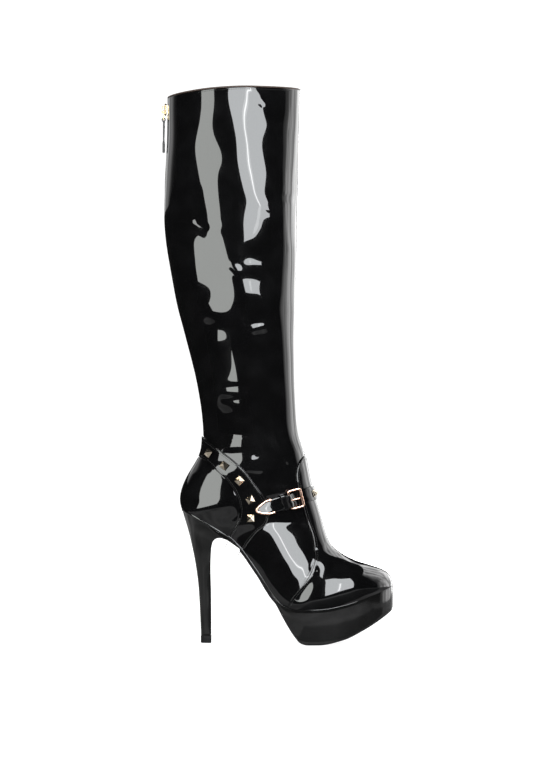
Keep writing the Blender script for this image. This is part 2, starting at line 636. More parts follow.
# Piece of a grid of points: equal corners are joined, faces without area dropped, and the faces
# turned to look along the given directions. Material and slot are patent leather unless given.
def gridPiece(name, points, facing, material=patent, replaces=(),
              closedI=False, closedJ=False):
    ids = np.arange(points.shape[0] * points.shape[1]).reshape(points.shape[:2])
    if closedI:
        ids = np.vstack([ids, ids[:1]])
    if closedJ:
        ids = np.hstack([ids, ids[:, :1]])
    quads = np.stack([ids[:-1, :-1], ids[1:, :-1], ids[1:, 1:], ids[:-1, 1:]], -1).reshape(-1, 4)
    points = points.reshape(-1, 3)
    keys = np.round(points * cornersPerMm).astype(np.int64)
    _, first, joined = np.unique(keys, axis=0, return_index=True, return_inverse=True)
    quads = joined.reshape(-1)[quads]
    source = points[first]
    same = np.stack([quads[:, k] == quads[:, (k + 1) % 4] for k in range(4)])
    crossed = (quads[:, 0] == quads[:, 2]) | (quads[:, 1] == quads[:, 3])
    count = same.sum(axis=0)
    full = quads[(count == 0) & ~crossed]
    narrow = (count == 1) & ~crossed
    kept = np.array([(0, 2, 3), (0, 1, 3), (0, 1, 2), (0, 1, 2)])
    thin = np.take_along_axis(quads[narrow], kept[np.argmax(same[:, narrow], axis=0)], 1)
    edges = source[full[:, 1:3]] - source[full[:, :1]]
    wanted = facing.reshape(-1, 3)[first][full[:, 0]]
    if (np.cross(edges[:, 0], edges[:, 1]) * wanted).sum() < 0:
        full, thin = full[:, ::-1], thin[:, ::-1]
    return addPiece(name, source, full, thin, material, replaces)


# Piece of rings along a path, each closed round, its faces looking away from the rings' middles.
def ringPiece(name, rings, material=patent, replaces=(), closedI=False):
    facing = rings - rings.mean(axis=1, keepdims=True)
    return gridPiece(name, rings, facing, material, replaces, closedI, True)


# Rings with their first, last or both ends drawn together on the ring's middle.
def capEnds(rings, first=True, final=True):
    start, end = (ring.mean(axis=0) + 0 * ring[None] for ring in (rings[0], rings[-1]))
    return np.concatenate([start] * first + [rings] + [end] * final)


# Copies of one small shape, each put at a place and turned to three directions.
def scatter(name, shape, faces, places, axes, material, slot):
    points = places[:, None, :] + np.einsum("vk,nkc->nvc", shape, axes)
    steps = len(shape) * np.arange(len(places))[:, None, None]
    quads = (np.asarray(faces)[None] + steps).reshape(-1, 4)
    return addPiece(name, points.reshape(-1, 3), quads, np.zeros((0, 3), int), material)


# A closed bar of six rings of eight points: x along, y across, z up. Each ring has a place and a
# width, as shares of the half sizes.
pillRings = ((-1, 0.35), (-0.8, 0.85), (-0.3, 1), (0.3, 1), (0.8, 0.85), (1, 0.35))
pillSides = 8


def pillShape(length, width, height):
    turn = 2 * np.pi * np.arange(pillSides) / pillSides
    shape = np.concatenate([
        np.stack([np.full(pillSides, at * length / 2), np.cos(turn) * wide * width / 2,
                  np.sin(turn) * wide * height / 2], -1)
        for at, wide in pillRings
    ])
    ids = np.arange(len(shape)).reshape(-1, pillSides)
    ids = np.hstack([ids, ids[:, :1]])
    faces = np.stack([ids[:-1, :-1], ids[:-1, 1:], ids[1:, 1:], ids[1:, :-1]], -1).reshape(-1, 4)
    cap = np.array([(0, j, j + 1, j + 2) for j in range(1, pillSides - 2, 2)])
    return shape, np.concatenate([faces, cap[:, ::-1], cap + ids[-1, 0]])


# A wave squared up by a power under 1.
def squared(wave, power):
    return np.sign(wave) * np.abs(wave) ** power


# Swept bar: at each point of a path, an ellipse of half sizes (across, out) on the given
# directions; a power under 1 squares it up.
def sweep(path, across, out, halfAcross, halfOut, sides=20, power=1.0):
    turn = 2 * np.pi * np.arange(sides) / sides
    c, s = squared(np.cos(turn), power), squared(np.sin(turn), power)
    across, out = (np.broadcast_to(value, path.shape)[:, None] for value in (across, out))
    halfAcross, halfOut = (
        np.broadcast_to(value, len(path))[:, None, None] for value in (halfAcross, halfOut))
    return path[:, None] + across * halfAcross * c[:, None] + out * halfOut * s[:, None]


def tangents(path, closed=False):
    if closed:
        return unit(np.roll(path, -1, axis=0) - np.roll(path, 1, axis=0))
    return unit(np.gradient(path, axis=0))


# Stitches along a line over the form: thread bars of one length with a space between.
def stitchRow(name, lines, offset, pitch=2.6, length=1.9, thick=0.42):
    places, axes = [], []
    for line, side in ((line, side) for line in lines for side in bothSides):
        dense, normal = overSide(line[:, 0], line[:, 1], side, offset)
        along = arcLength(dense)
        at = np.arange(pitch / 2, along[-1], pitch)
        up = unit(readAt(at, along, normal))
        run = readAt(at, along, tangents(dense))
        run = unit(run - up * (run * up).sum(-1, keepdims=True))
        places.append(readAt(at, along, dense))
        axes.append(np.stack([run, np.cross(up, run), up], 1))
    shape, faces = pillShape(length, thick, thick)
    places, axes = np.concatenate(places), np.concatenate(axes)
    return scatter(name, shape, faces, places, axes, thread, "patent_leather")


# Upper: rows run from the collar down the leg and along the foot, angles from the zip's slot or the
# sole's edge round the front and back again. The collar's rows follow its sloping rim.
upperSet = dict(rows=430, round=212, zipFoot=214.0, slotHalf=3.6, rim=1.0, rimRows=8, rimDrop=0.8)
liningSet = dict(rows=220, round=110, slotHalf=4.0, drop=0.6)
collarMiddle = shinX - last["collarDepth"] * 0.35


def collarHeight(x):
    behind = np.maximum(0, (collarMiddle - x) / (last["collarDepth"] * 0.65))
    return legFoot + last["legHeight"] - last["collarDip"] * behind**1.8


def belowEdge(row):
    return column(1, row) - edgeHeight(column(0, row))


firstEdgeRow = float(bisect(belowEdge, seatRow - 1, seatRow))
lastEdgeRow = float(bisect(belowEdge, tipRow - 1, tipRow))


# Angle where each section passes through the upper's lower edge.
def edgeAngle(row):
    inside = np.clip(row, firstEdgeRow, lastEdgeRow)

    def above(angle):
        p = formPoint(inside, angle)
        return p[..., 2] - edgeHeight(p[..., 0])

    angle = bisect(above, 1e-4, np.pi / 2)
    return np.where((row <= firstEdgeRow) | (row >= lastEdgeRow), 0, angle)


# Row where the collar's sloping rim lies at each angle, found by turns.
def collarRow(angle):
    row = np.full(np.shape(angle), 1.0)
    for _ in range(12):
        x = formPoint(row, angle)[..., 0]
        row = bisect(lambda r: collarHeight(x) - column(1, r), 0, 3, 24)
    return row


def slotAngle(row, half):
    return np.arcsin(np.clip(half / column(4, row), 0, 1) ** (1 / legFullness))


# Rows at even steps of surface length down the front.
def evenRows(count, frontAngle=2.2):
    fine = np.linspace(0.6, tipRow, 2400)
    length = arcLength(formPoint(fine, frontAngle))
    return np.interp(np.linspace(0, length[-1], count), length, fine)


# Shell over the form at an offset, open along the zip's slot, its rows leading up to the collar.
def shellGrid(rows, turns, offset, slot):
    row = evenRows(rows)[:, None] + np.zeros((1, turns))
    share = np.linspace(0, 1, turns)[None, :]
    share = share - 0.018 * np.sin(4 * np.pi * share)
    slotted = column(1, row[:, 0]) > upperSet["zipFoot"]
    low = np.maximum(edgeAngle(row[:, 0]), slotAngle(row[:, 0], slot) * slotted)[:, None]
    angle = low + (2 * np.pi - 2 * low) * share
    lead = np.clip(1 - (row - row[:1]) / 3.0, 0, 1) ** 2
    row = row + (collarRow(angle[0])[None, :] - row[:1]) * lead
    return overPoint(row, angle, np.full(row.shape, offset))


outside, outward = shellGrid(upperSet["rows"], upperSet["round"], 0.0, upperSet["slotHalf"])
rimTurn = np.linspace(np.pi, 0, upperSet["rimRows"] + 1)[:-1, None, None]
upwards = np.array([0, 0, 1.0])
inward = -upperSet["rim"] * (1 - np.cos(rimTurn))
rise = upperSet["rim"] * np.sin(rimTurn) * upperSet["rimDrop"] - upperSet["rimDrop"]
outside = np.concatenate([outside[0] + outward[0] * inward + upwards * rise, outside])
outward = np.concatenate([np.repeat(outward[:1], upperSet["rimRows"], axis=0), outward])
gridPiece("upper_leather", outside, outward, replaces=["upper"])
inside, outward = shellGrid(
    liningSet["rows"], liningSet["round"], -last["wall"], liningSet["slotHalf"])
inside[0] = inside[0] - upwards * liningSet["drop"]
gridPiece("lining", inside, -outward, lining)
print("stage: upper")

over = gap + last["overlay"]
rollSet = dict(radius=1.1, steps=6)


# Patch over the form between two lines given as rows and angles. Its border rolls down to the upper
# over a quarter circle: near holds distances from the edge, and lifts the heights there.
def patchGrid(first, second, offset, across, rolled=(True, True), crown=0.0):
    (row1, angle1), (row2, angle2) = first, second
    row1, row2 = row1[:, None], row2[:, None]
    angle1 = np.maximum(angle1[:, None], edgeAngle(row1))
    angle2 = np.maximum(angle2[:, None], edgeAngle(row2))
    inner = np.linspace(0, 1, across)
    rough = formPoint(row1 + (row2 - row1) * inner, angle1 + (angle2 - angle1) * inner)
    length = arcLength(rough.swapaxes(0, 1)).T
    total = np.maximum(length[:, -1:], 1e-6)
    radius, steps = rollSet["radius"], rollSet["steps"]
    turn = np.linspace(0, np.pi / 2, steps)
    near = radius * (1 - np.cos(turn))
    lifts = radius * (np.sin(turn) - 1)
    reach = np.minimum(1, total / (2.4 * radius))
    begin = near * reach / total if rolled[0] else np.zeros((len(rough), 1))
    finish = 1 - near[::-1] * reach / total if rolled[1] else np.ones((len(rough), 1))
    middle = begin[:, -1:] + (finish[:, :1] - begin[:, -1:]) * inner[1:-1]
    at = np.concatenate([begin, middle, finish], axis=1)
    lift = np.zeros(at.shape)
    if rolled[0]:
        lift[:, :steps] = lifts
    if rolled[1]:
        lift[:, -steps:] = lifts[::-1]
    lift = lift + crown * np.sin(np.pi * at) ** 0.5
    share = np.stack([np.interp(a, known, inner) for a, known in zip(at, length / total)])
    row, angle = row1 + (row2 - row1) * share, angle1 + (angle2 - angle1) * share
    feet = ((0, 0), (int(rolled[0]), int(rolled[1])))
    return np.pad(row, feet, "edge"), np.pad(angle, feet, "edge"), np.pad(offset + lift, feet)


# Both sides of a patch as one grid, joined at the back's centre line.
def mirrored(row, angle, offsets):
    row = np.concatenate([row[::-1], row[1:]])
    angle = np.concatenate([angle[::-1], -angle[1:]])
    offsets = np.concatenate([offsets[::-1], offsets[1:]])
    return overPoint(row, angle, offsets)


def backPlace(z):
    row = float(bisect(lambda r: column(1, r) - z, 0, seatRow - 1))
    return [float(column(0, row)), z]


def onForm(points):
    return placeOnForm(points[:, 0], points[:, 1])


vampSet = dict(top=0.887, rows=190, across=60, topRoll=8)
vampEdge = sidePoints([
    (0.6, 0.884), (0.585, 0.876), (0.566, 0.85), (0.551, 0.8), (0.5495, 0.745), (0.565, 0.66),
    (0.587, 0.559), (0.605, 0.491), (0.626, 0.42), (0.636, 0.339), (0.633, 0.272), (0.615, 0.213),
    (0.58, 0.146), (0.54, 0.09), (0.516, 0.045), (0.505, 0.0), (0.502, -0.03),
])
vampLine = smoothLine(vampEdge, 240)
vampRow, vampAngle = onForm(vampLine)
overSole = vampLine[:, 1] > edgeHeight(vampLine[:, 0])
vampRow, vampAngle = vampRow[overSole], vampAngle[overSole]
soleRows = np.linspace(vampRow[-1], tipRow - 0.01, 150)
soleAngles = edgeAngle(soleRows)
firstRow = np.concatenate([vampRow, soleRows[1:]])
firstAngle = np.concatenate([vampAngle, soleAngles[1:]])
vampTop = platformHeight + vampSet["top"] * overHeight
ridgeTop = float(bisect(lambda r: column(3, r) - vampTop, ankleRow, tipRow))
share = arcLength(formPoint(firstRow, firstAngle))
share = share / share[-1]
secondRow = ridgeTop + (tipRow - 0.01 - ridgeTop) * share**1.1
pick = np.linspace(0, 1, vampSet["rows"])
firstRow, firstAngle, secondRow = (
    np.interp(pick, share, values) for values in (firstRow, firstAngle, secondRow))
row, angle, offsets = patchGrid(
    (firstRow, firstAngle), (secondRow, np.full(vampSet["rows"], np.pi)), over, vampSet["across"],
    (True, False))
row = np.concatenate([row, row[:, -2::-1]], axis=1)
angle = np.concatenate([angle, 2 * np.pi - angle[:, -2::-1]], axis=1)
offsets = np.concatenate([offsets, offsets[:, -2::-1]], axis=1)
roll = np.arange(vampSet["topRoll"])[:, None] / (vampSet["topRoll"] - 1)
offsets[:len(roll)] = np.minimum(offsets[:len(roll)], over * np.sqrt(1 - (1 - roll) ** 2))
points, outward = overPoint(row, angle, offsets)
gridPiece("vamp_leather", points, outward, replaces=["vamp"])

harnessOuter = [
    (0.112, 0.988), (0.159, 0.938), (0.21, 0.89), (0.272, 0.833), (0.313, 0.783), (0.349, 0.723),
    (0.385, 0.662), (0.412, 0.6), (0.415, 0.54), (0.4, 0.49), (0.362, 0.45), (0.322, 0.391),
    (0.296, 0.34), (0.27, 0.26),
]
harnessInner = [
    (0.09, 0.882), (0.123, 0.85), (0.17, 0.801), (0.221, 0.744), (0.25, 0.697), (0.272, 0.645),
    (0.281, 0.6), (0.2815, 0.56), (0.275, 0.52), (0.259, 0.48), (0.242, 0.446), (0.225, 0.41),
    (0.21, 0.378), (0.196, 0.34),
]
outerTop = platformHeight + 0.995 * overHeight
innerTop = platformHeight + 0.885 * overHeight
outerLine = np.vstack([[backPlace(outerTop)], sidePoints(harnessOuter)])
innerLine = np.vstack([[backPlace(innerTop)], sidePoints(harnessInner)])


# Two lines of paired points as smooth lines that keep the pairs together.
def pairedLines(one, two, count):
    both = smoothLine(np.hstack([one, two]), count)
    return both[:, :2], both[:, 2:]


overlaySet = dict(rows=150, bandAcross=18, bandCrown=0.15, counterAcross=46, counterCrown=0.3,
                  counterEnd=0.2)
outerDense, innerDense = pairedLines(outerLine, innerLine, overlaySet["rows"])
outerPlace, innerPlace = onForm(outerDense), onForm(innerDense)
outerPlace[1][0] = innerPlace[1][0] = 0
points, outward = mirrored(*patchGrid(
    outerPlace, innerPlace, over, overlaySet["bandAcross"], crown=overlaySet["bandCrown"]))
gridPiece("harness_leather", points, outward, replaces=["ankle_harness"])

counterTop = pairedLines(innerLine - [0.4, 0.8], innerLine, overlaySet["rows"])[0]
topRow, topAngle = onForm(counterTop)
topAngle[0] = 0
endX = np.array([overlaySet["counterEnd"] * footLength])
endRow = float(placeOnForm(endX, edgeHeight(endX))[0][0])
lowRow = np.linspace(firstEdgeRow, max(endRow, firstEdgeRow + 1), overlaySet["rows"])
points, outward = mirrored(*patchGrid(
    (topRow, topAngle), (lowRow, edgeAngle(lowRow)), gap + last["counter"],
    overlaySet["counterAcross"], (False, False), overlaySet["counterCrown"]))
gridPiece("counter_leather", points, outward, replaces=["heel_counter"])
print("stage: overlays")

# Strap frame in the side view: from the tip, along the strap and across it. The strap lifts over
# the buckle's rear bar, and its tip stands a little off and tilts.
strapSet = dict(width=14.6, tip=12.0, tipPower=1.7, thick=1.5, slope=0.291, ridge=0.668,
                lift=4.1, liftReach=4.4, buckleBack=34.7, innerEnd=8.0, steps=110, sides=40,
                corner=0.35, tiltAt=9, tiltReach=8.0, tiltLift=0.45, tilt=0.1)
strapTip = np.array([0.357 * footLength, platformHeight + 0.57 * overHeight])
strapRun = np.array([math.cos(strapSet["slope"]), math.sin(strapSet["slope"])])
strapInner = over + gap


def onStrap(along, across):
    x = strapTip[0] + along * strapRun[0] - across * strapRun[1]
    z = strapTip[1] + along * strapRun[1] + across * strapRun[0]
    return x, z


def strapOffset(along, side, across=0.0):
    bell = np.exp(-(((along - strapSet["buckleBack"]) / strapSet["liftReach"]) ** 2))
    tilt = np.exp(-(((along - strapSet["tiltAt"]) / strapSet["tiltReach"]) ** 2))
    tilt = tilt * (strapSet["tiltLift"] - strapSet["tilt"] * across)
    return strapInner + np.where(side < 0, strapSet["lift"] * bell + tilt, 0)


def ridgePoint(across):
    z = platformHeight + strapSet["ridge"] * overHeight + across
    row = bisect(lambda r: column(3, r) - z, ankleRow, tipRow)
    return column(2, row), z


# Strap: from its pointed end to the ridge of the instep and down the inner side, the section a
# rounded bar across. Points lie on the straight side-view line from each end to the ridge.
def strapPoint(side, share, across, lift):
    tipShape = strapSet["tip"] * np.abs(2 * across / strapSet["width"]) ** strapSet["tipPower"]
    x0, z0 = onStrap(np.where(side < 0, tipShape, strapSet["innerEnd"]), across)
    x1, z1 = ridgePoint(across)
    x = x0 + (x1 - x0) * share
    z = z0 + (z1 - z0) * share
    along = (x - strapTip[0]) * strapRun[0] + (z - strapTip[1]) * strapRun[1]
    return overSide(x, z, side, strapOffset(along, side, across) + lift)


barTurn = 2 * np.pi * np.arange(strapSet["sides"]) / strapSet["sides"]
barAcross = squared(np.cos(barTurn), strapSet["corner"])
barLift = 0.5 + 0.5 * squared(np.sin(barTurn), strapSet["corner"])
outerShare = 1 - (1 - np.linspace(0, 1, strapSet["steps"])) ** 1.6
strapShare = np.concatenate([outerShare, outerShare[-2::-1]])[:, None]
strapSide = np.where(np.arange(len(strapShare)) < strapSet["steps"], -1.0, 1.0)[:, None]
points, _ = strapPoint(
    strapSide, strapShare, barAcross * strapSet["width"] / 2, barLift * strapSet["thick"])
ringPiece("strap_leather", capEnds(points), replaces=["instep_strap"])

# Branch of the harness that runs forward under the strap to the buckle.
branch = dict(start=12, past=1, steps=70, inset=1.8)
branchAlong = np.linspace(branch["start"], strapSet["buckleBack"] + branch["past"], branch["steps"])
x, z = onStrap(branchAlong[:, None], barAcross * (strapSet["width"] / 2 - branch["inset"]))
for name, side in (("branch_outer", -1), ("branch_inner", 1)):
    points, _ = overSide(x, z, side, gap * 0.5 + barLift * last["overlay"])
    ringPiece(name, capEnds(points, first=False))

# Metal edging of the strap's tip: a bar along the U of its edge.
edging = dict(run=5.5, width=2.5, height=1.7, lift=0.4, inset=0.35, back=0.45, power=0.8)
v = np.linspace(-1, 1, 90)
uAlong = strapSet["tip"] * np.abs(v) ** strapSet["tipPower"] + edging["back"]
uLine = np.stack([uAlong, v * (strapSet["width"] / 2 - edging["inset"])], -1)
legs = np.stack([np.linspace(edging["run"], 0, 12)[:-1], np.zeros(11)], -1)
uLine = resample(np.concatenate([uLine[0] + legs, uLine, uLine[-1] + legs[::-1]]), count=150)
x, z = onStrap(uLine[:, 0], uLine[:, 1])
edgeOffset = strapOffset(uLine[:, 0], -1, uLine[:, 1]) + strapSet["thick"] + edging["lift"]
path, outward = overSide(x, z, -1, edgeOffset)
across = unit(np.cross(outward, tangents(path)))
bar = sweep(path, across, outward, edging["width"] / 2, edging["height"] / 2, 20, edging["power"])
ringPiece("tip_edging", capEnds(bar), roseGold, ["strap_tip"])

# Buckle: a flat rounded frame, its rear bar under the strap and its front bar over it.
buckle = dict(length=18.4, height=21.4, bar=2.6, across=0.4, settle=1.6, corner=3.4)
buckleFront = strapSet["buckleBack"] + buckle["length"] - 2 * buckle["bar"]


def onePoint(along, across, offset):
    x, z = onStrap(along, across)
    point, normal = overSide(np.array([x]), np.array([z]), -1, np.array([offset]))
    return point[0], normal[0]


halfBar = buckle["bar"] / 2
rear, rearOut = onePoint(
    strapSet["buckleBack"], buckle["across"], gap * 2 + last["overlay"] + halfBar)
front, frontOut = onePoint(
    buckleFront, buckle["across"],
    strapInner + strapSet["thick"] + gap + buckle["settle"] + halfBar)
buckleMiddle = (rear + front) / 2
buckleX = unit(front - rear)
buckleOut = rearOut + frontOut
buckleOut = unit(buckleOut - buckleX * (buckleOut @ buckleX))
buckleY = np.cross(buckleOut, buckleX)


# Rounded rectangle: straight sides joined by quarter circles, as points and their outward turn.
def roundedLoop(width, height, radius, steps=16):
    turn = np.linspace(0, np.pi / 2, steps)
    out = []
    for k, (sx, sy) in enumerate(((1, 1), (-1, 1), (-1, -1), (1, -1))):
        a = turn + k * np.pi / 2
        out.append(np.stack([sx * (width / 2 - radius) + radius * np.cos(a),
                             sy * (height / 2 - radius) + radius * np.sin(a)], -1))
    return np.concatenate(out)


loop = roundedLoop(buckle["length"] - 2 * buckle["bar"], buckle["height"] - buckle["bar"],
                   buckle["corner"] - halfBar)
loop = resample(np.vstack([loop, loop[:1]]), count=161)[:-1]
path = buckleMiddle + loop[:, :1] * buckleX + loop[:, 1:] * buckleY
across = unit(np.cross(tangents(path, True), buckleOut))
bar = sweep(path, across, buckleOut, halfBar, halfBar, 20, 0.7)
ringPiece("buckle_loop", bar, roseGold, ["buckle_frame"], closedI=True)

prong = dict(hook=1.4, drop=0.4, bow=0.5, halfWidth=1.0, halfHeight=0.85, steps=40, point=0.3)
halfSpan = (buckleFront - strapSet["buckleBack"]) / 2
prongLow = halfBar + 1 + gap
prongLine = smoothLine([
    (-halfSpan - prong["hook"], prongLow - prong["drop"]),
    (-halfSpan * 0.3, prongLow + prong["bow"]), (halfSpan * 0.5, prongLow + prong["bow"]),
    (halfSpan + halfBar, prongLow),
], prong["steps"])
path = buckleMiddle + prongLine[:, :1] * buckleX + prongLine[:, 1:] * buckleOut
taper = np.clip(1.02 - np.linspace(0, 1, prong["steps"]) ** 8, 0.55, 1)
bar = capEnds(sweep(
    path, buckleY, buckleOut, prong["halfWidth"] * taper, prong["halfHeight"] * taper, 16))
bar[-1] += buckleX * prong["point"]
ringPiece("prong_bar", bar, roseGold, ["buckle_prong"])

# Keeper: a leather band across the strap, its section a rounded bar, its line an arch over it.
keeper = dict(centre=29.6, length=3.8, thick=1.0, foot=0.4, corner=1.4, steps=60)
keeperHalf = strapSet["width"] / 2 + 3 * gap + keeper["thick"] / 2
keeperHigh = (float(strapOffset(keeper["centre"], -1)) + strapSet["thick"] + 4 * gap
              + keeper["thick"] / 2)
arch = roundedLoop(2 * keeperHalf, 2 * keeperHigh, keeper["corner"], 10)
arch = arch[arch[:, 1] > 0]
arch = np.vstack([[keeperHalf, keeper["foot"]], arch, [-keeperHalf, keeper["foot"]]])
arch = resample(arch, count=keeper["steps"])
archRun = tangents(arch)
sideways = np.stack([archRun[:, 1], -archRun[:, 0]], -1)[:, None]
section = arch[:, None] + sideways * ((barLift - 0.5) * keeper["thick"])[:, None]
x, z = onStrap(keeper["centre"] + barAcross * keeper["length"] / 2, section[..., 0])
points, _ = overSide(x, z, -1, section[..., 1])
ringPiece("keeper_leather", points, replaces=["strap_keeper"])
print("stage: strap")

# Sole: stations along the plan outline of the upper's edge, each a rounded section.
soleSet = dict(stations=260, lipStart=0.4, lipEnd=0.5, corner=0.7, bulge=0.1)
outsoleSet = dict(start=0.278, inset=0.9, corner=0.35, walls=4)
stationTurn = np.pi * np.arange(soleSet["stations"] + 1) / soleSet["stations"]
stationShare = (1 - np.cos(stationTurn)) / 2
stationRow = firstEdgeRow + (lastEdgeRow - firstEdgeRow) * stationShare
stationAngle = edgeAngle(stationRow)
stationAngle[0] = stationAngle[-1] = 0
edgeStations = np.stack(
    [formPoint(stationRow, turn) for turn in (stationAngle, -stationAngle)], 1)[..., :2]


# Plan outline of the upper's edge, moved outwards by spread(x).
def planOutline(spread):
    run = unit(np.gradient(edgeStations, axis=0))
    normal = np.stack([-run[..., 1], run[..., 0]], -1) * np.array([-1, 1])[None, :, None]
    normal[0] = (-1, 0)
    normal[-1] = (1, 0)
    return edgeStations + normal * spread(edgeStations[..., 0])[..., None]


def soleSpread(x):
    start, end = soleSet["lipStart"], soleSet["lipEnd"]
    share = ease(np.clip((x / footLength - start) / (end - start), 0, 1))
    return gap + last["counter"] + share * (last["overlay"] - last["counter"] + last["lip"])


# Closed section of a sole layer at each station: down the outer wall, under, up the inner wall and
# over. Corners are quarter circles of one radius, and the walls bulge by a sine of their height. A
# lip raises the wall's top by lip(x) over the layer's own.
def soleLayer(spread, low, high, radius, bulge=0.0, walls=12, lip=None):
    turn = np.linspace(0, np.pi / 2, 6)
    wall = np.linspace(0, 1, walls)
    rings = []
    rise = lip or (lambda x: 0 * x)
    for inset, top, share in (
        [(radius + 0.5, True, 0.0)] * (lip is not None)
        + [(radius * (1 - np.sin(t)), True, radius * (1 - np.cos(t))) for t in turn]
        + [(0.0, None, w) for w in wall[1:-1]]
        + [(radius * (1 - np.cos(t)), False, radius * (1 - np.sin(t))) for t in turn]
    ):
        extra = bulge * math.sin(math.pi * share) if top is None else 0
        plan = planOutline(lambda x: spread(x) - inset + extra)
        x = plan[..., 0]
        if top is None:
            z = (high(x) + rise(x) - radius) * (1 - share) + (low(x) + radius) * share
        elif top:
            z = high(x) + rise(x) * (inset <= radius) - share
        else:
            z = low(x) + share
        rings.append(np.concatenate([plan, z[..., None]], -1))
    rings = np.stack(rings, 1)
    fill = np.linspace(0, 1, 9)[1:-1, None]
    under = rings[:, -1, :1] + (rings[:, -1, 1:] - rings[:, -1, :1]) * fill
    over = rings[:, 0, 1:] + (rings[:, 0, :1] - rings[:, 0, 1:]) * fill
    under[..., 2] = low(under[..., 0])
    over[..., 2] = high(over[..., 0])
    return np.concatenate([rings[:, :, 0], under, rings[:, ::-1, 1], over], 1)


def soleTop(x):
    return edgeHeight(x) - last["soleGap"] * 0.5 * steepness(edgeHeight, x)


def soleBottom(x):
    return underside(x) + (last["outsole"] + gap * 0.5) * steepness(underside, x)


def outsoleTop(x):
    return underside(x) + last["outsole"] * steepness(underside, x)


def lipRise(x):
    return 2.0 * np.clip((x / footLength - 0.45) / 0.12, 0, 1)


points = soleLayer(
    soleSpread, soleBottom, soleTop, soleSet["corner"], soleSet["bulge"], lip=lipRise)
ringPiece("platform_cover", points, patentSole, ["platform_sole"])
lipX = outsoleSet["start"] * footLength
firstStation = int(np.argmax(edgeStations[:, 0, 0] > lipX + gap))
points = soleLayer(lambda x: soleSpread(x) - outsoleSet["inset"], underside, outsoleTop,
                   outsoleSet["corner"], walls=outsoleSet["walls"])[firstStation:]
ringPiece("outsole_rubber", capEnds(points, final=False), rubber, ["outsole"])
print("stage: sole")

# Heel: rings tilted like the seat, each cut off at the breast line and under the sole.
heelSet = dict(tipDepth=10.3, tipWidth=10.6, tipPlace=21.7, lift=8.0,
               rings=150, round=96, power=0.8)
# Stages up the heel: (height, back, width, length, fall of the ring), each as a share.
heelRows = np.array([
    (0, 0, 0, 0.056, 0), (0.36, 0.125, 0.05, 0.062, 0), (0.57, 0.31, 0.16, 0.12, 0),
    (0.69, 0.47, 0.34, 0.24, 0.18), (0.8, 0.63, 0.6, 0.33, 0.38), (0.88, 0.78, 0.82, 0.37, 0.5),
    (0.95, 0.92, 0.97, 0.4, 0.56), (1.03, 1.06, 1.08, 0.42, 0.58),
])
heelTopStage = len(heelRows) - 1
heelShare = np.linspace(0, heelTopStage, heelSet["rings"])
heelCurves = [curveThrough(np.arange(len(heelRows)), values) for values in heelRows.T]
softPlaces = [np.clip(heelShare + d, 0, heelTopStage) for d in softenSteps]
up, back, spread, long, fall = (
    sum(w * curve(place) for place, w in zip(softPlaces, softenShares)) for curve in heelCurves)
up = up - up[0] * np.clip(1 - heelShare, 0, 1)
seatBack = edgeStations[0, 0, 0] - gap - last["counter"]
breastX = heelSet["tipPlace"] + heelSet["tipDepth"]
heelHeight = last["heelHeight"]


def heelTop(x):
    thick = last["soleGap"] + last["shank"] + gap
    return edgeHeight(x) - thick * steepness(edgeHeight, x) + 0.35


breastRows = np.array([
    (0, -0.3), (0, 0.36), (-0.02, 0.6), (0.01, 0.7), (0.061, 0.745), (0.155, 0.772), (0.304, 0.782),
    (0.473, 0.775), (0.676, 0.756), (1, float(underside(lipX)) / heelHeight),
])
breast = smoothLine(breastRows * [lipX - breastX, heelHeight] + [breastX, 0], 300)
peak = int(np.argmax(breast[:, 1]))


# True where a side-view point lies behind the stem's front and above the lip's underside.
def behindBreast(x, z):
    stem = x < np.interp(z, breast[:peak + 1, 1], breast[:peak + 1, 0])
    lipLine = np.interp(x, breast[peak:, 0], breast[peak:, 1])
    lip = (z > lipLine) & (x < lipX)
    return np.where(z < breast[peak, 1], stem | ((x > breast[peak, 0]) & lip), x < lipX)


ringZ = heelSet["lift"] + gap + up * (heelHeight - heelSet["lift"] - gap)
ringBack = heelSet["tipPlace"] + back * (seatBack - heelSet["tipPlace"])
ringHalf = (heelSet["tipWidth"] + spread * (last["heelWidth"] - heelSet["tipWidth"])) / 2
ringLong = long * footLength
tries = np.linspace(0, 1, 500)
tryAlong = ringLong[:, None] * tries
inside = behindBreast(ringBack[:, None] + tryAlong, ringZ[:, None] - fall[:, None] * tryAlong)
limit = (np.cumprod(inside, axis=1).sum(axis=1) - 1) / (len(tries) - 1)
heelTurn = 2 * np.pi * np.arange(heelSet["round"]) / heelSet["round"]


# Ring of the heel: round at the back, cut flat at a share of its length, falling towards the toe.
def heelRing(z, back, half, long, fall, limit, grown=0.0):
    reach = (half + grown) * squared(np.sin(heelTurn), heelSet["power"])
    share = np.minimum((1 - np.cos(heelTurn)) / 2, np.maximum(limit, 0.02))
    x = back - grown + share * (long + 2 * grown)
    return np.stack([x, -reach, z - fall * share * long], -1)


rings = np.stack([heelRing(*one) for one in zip(ringZ, ringBack, ringHalf, ringLong, fall, limit)])
plan = planOutline(lambda x: np.full(np.shape(x), gap + last["counter"]))
widest = np.interp(rings[..., 0], plan[:, 1, 0], plan[:, 1, 1])
lowest = np.interp(rings[..., 0], plan[:, 0, 0], plan[:, 0, 1])
rings[..., 1] = np.clip(rings[..., 1], lowest, widest)
rings[..., 0] = np.maximum(rings[..., 0], seatBack)
rings[..., 2] = np.minimum(rings[..., 2], heelTop(rings[..., 0]))
ringPiece("heel_cover", capEnds(rings, final=False), patentHeel, ["heel"])

